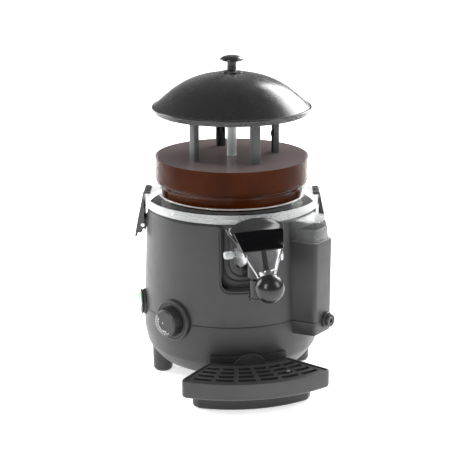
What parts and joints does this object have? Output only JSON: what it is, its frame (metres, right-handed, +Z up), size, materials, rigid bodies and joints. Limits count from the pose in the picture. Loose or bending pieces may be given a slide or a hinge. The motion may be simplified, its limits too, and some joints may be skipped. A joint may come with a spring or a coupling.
{
  "type": "heated drink and sauce dispenser",
  "caption": "Countertop bain-marie dispenser: clear bowl with stirrer and domed lid on a round black body, with a lever tap over a drip tray.",
  "frame": {"origin": "bottom centre of the whole object's box, on the surface that it stands on", "axes": "+Z up, -Y towards the tap, +X to the right of someone who faces the tap"},
  "size_m": [0.2824, 0.3546, 0.465],
  "materials": {
    "housing_black": "fine-textured moulded plastic",
    "lid_black": "smooth moulded plastic, soft gloss",
    "gloss_black": "polished",
    "clear_plastic": "clear, polished",
    "stainless": "satin",
    "zinc_steel": "zinc plated",
    "brass": "plain",
    "rubber_black": "matt",
    "stirrer_grey": "smooth",
    "rocker_green": "translucent",
    "white_plastic": "smooth"
  },
  "bodies": {
    "root": {"base_housing": "housing_black", "upper_housing": "housing_black", "tap_recess_panel": "housing_black", "foot_front": "housing_black", "foot_right": "housing_black", "foot_rear": "housing_black", "foot_left": "housing_black", "foot_front_screw": "zinc_steel", "foot_right_screw": "zinc_steel", "foot_rear_screw": "zinc_steel", "foot_left_screw": "zinc_steel", "water_bath_tank": "stainless", "tank_gasket": "rubber_black", "heating_element": "zinc_steel", "thermal_cutout": "brass", "gearbox": "zinc_steel", "gear_motor": "zinc_steel", "motor_bracket": "zinc_steel", "shaft_seal": "rubber_black", "terminal_block": "white_plastic", "cable_gland": "housing_black", "fill_hose": "rubber_black", "drain_hose": "rubber_black", "bowl": "clear_plastic", "latch_bracket_left": "housing_black", "latch_bracket_right": "housing_black", "latch_pin_left": "stainless", "latch_pin_right": "stainless", "dial_bezel": "housing_black", "thermostat": "zinc_steel", "switch_housing": "housing_black", "reservoir_cup": "housing_black", "drain_valve_body": "housing_black", "tap_spout": "housing_black", "tap_pivot_pin": "clear_plastic", "lever_spring": "stainless", "tray_support": "housing_black"},
    "stirrer": {"stirrer_frame": "stirrer_grey", "drive_shaft": "stainless"},
    "lid": {"lid_dome": "lid_black", "lid_knob": "lid_black", "lid_knob_screw": "stainless"},
    "latch_left": {"latch_lever_left": "housing_black"},
    "latch_right": {"latch_lever_right": "housing_black"},
    "dial": {"dial_knob": "housing_black"},
    "rocker": {"switch_rocker": "rocker_green"},
    "cover": {"reservoir_cover": "clear_plastic"},
    "drain": {"drain_knob": "housing_black"},
    "tap_lever": {"tap_handle": "gloss_black", "handle_plate": "gloss_black"},
    "plunger": {"tap_piston": "white_plastic", "piston_seal": "rubber_black"},
    "tray": {"drip_tray": "housing_black"},
    "grille": {"drip_grille": "housing_black"}
  },
  "joints": [
    {"name": "lid_lift", "type": "slide", "parent": "root", "child": "lid", "axis": [0, 0, 1], "range_m": [0, 0.15]},
    {"name": "stirrer_spin", "type": "hinge", "parent": "root", "child": "stirrer", "pos_m": [0, 0.04127, 0.3], "axis": [0, 0, 1], "continuous": true},
    {"name": "tap_lever", "type": "hinge", "parent": "root", "child": "tap_lever", "pos_m": [0.00263, -0.09788, 0.216], "axis": [-0.9848, -0.1736, 0], "range_deg": [0, 20], "stiffness_Nm_per_rad": 0.4, "springref_deg": -17.19},
    {"name": "plunger", "type": "slide", "parent": "root", "child": "plunger", "axis": [0, 0, 1], "range_m": [0, 0.0056]},
    {"name": "dial_turn", "type": "hinge", "parent": "root", "child": "dial", "pos_m": [-0.1088, -0.04684, 0.1045], "axis": [-0.7771, -0.6293, 0], "range_deg": [0, 270]},
    {"name": "switch_rock", "type": "hinge", "parent": "root", "child": "rocker", "pos_m": [-0.13142, 0.04816, 0.105], "axis": [0.0523, 0.9986, 0], "range_deg": [0, 14]},
    {"name": "latch_right", "type": "hinge", "parent": "root", "child": "latch_right", "pos_m": [0.12569, 0.01455, 0.221], "axis": [0.2079, 0.9781, 0], "range_deg": [0, 28]},
    {"name": "latch_left", "type": "hinge", "parent": "root", "child": "latch_left", "pos_m": [-0.12569, 0.06799, 0.221], "axis": [-0.2079, -0.9781, 0], "range_deg": [0, 28]},
    {"name": "drain_turn", "type": "hinge", "parent": "root", "child": "drain", "pos_m": [0.115, -0.06903, 0.101], "axis": [0.6832, -0.7303, 0], "range_deg": [0, 90]},
    {"name": "cover_lift", "type": "slide", "parent": "root", "child": "cover", "axis": [0, 0, 1], "range_m": [0, 0.06]},
    {"name": "tray_slide", "type": "slide", "parent": "root", "child": "tray", "axis": [0, -1, 0], "range_m": [0, 0.1]},
    {"name": "grille_lift", "type": "slide", "parent": "tray", "child": "grille", "axis": [0, 0, 1], "range_m": [0, 0.02]}
  ],
  "couplings": [
    {"joint": "plunger", "follows": "tap_lever", "m_per_rad": 0.016}
  ]
}
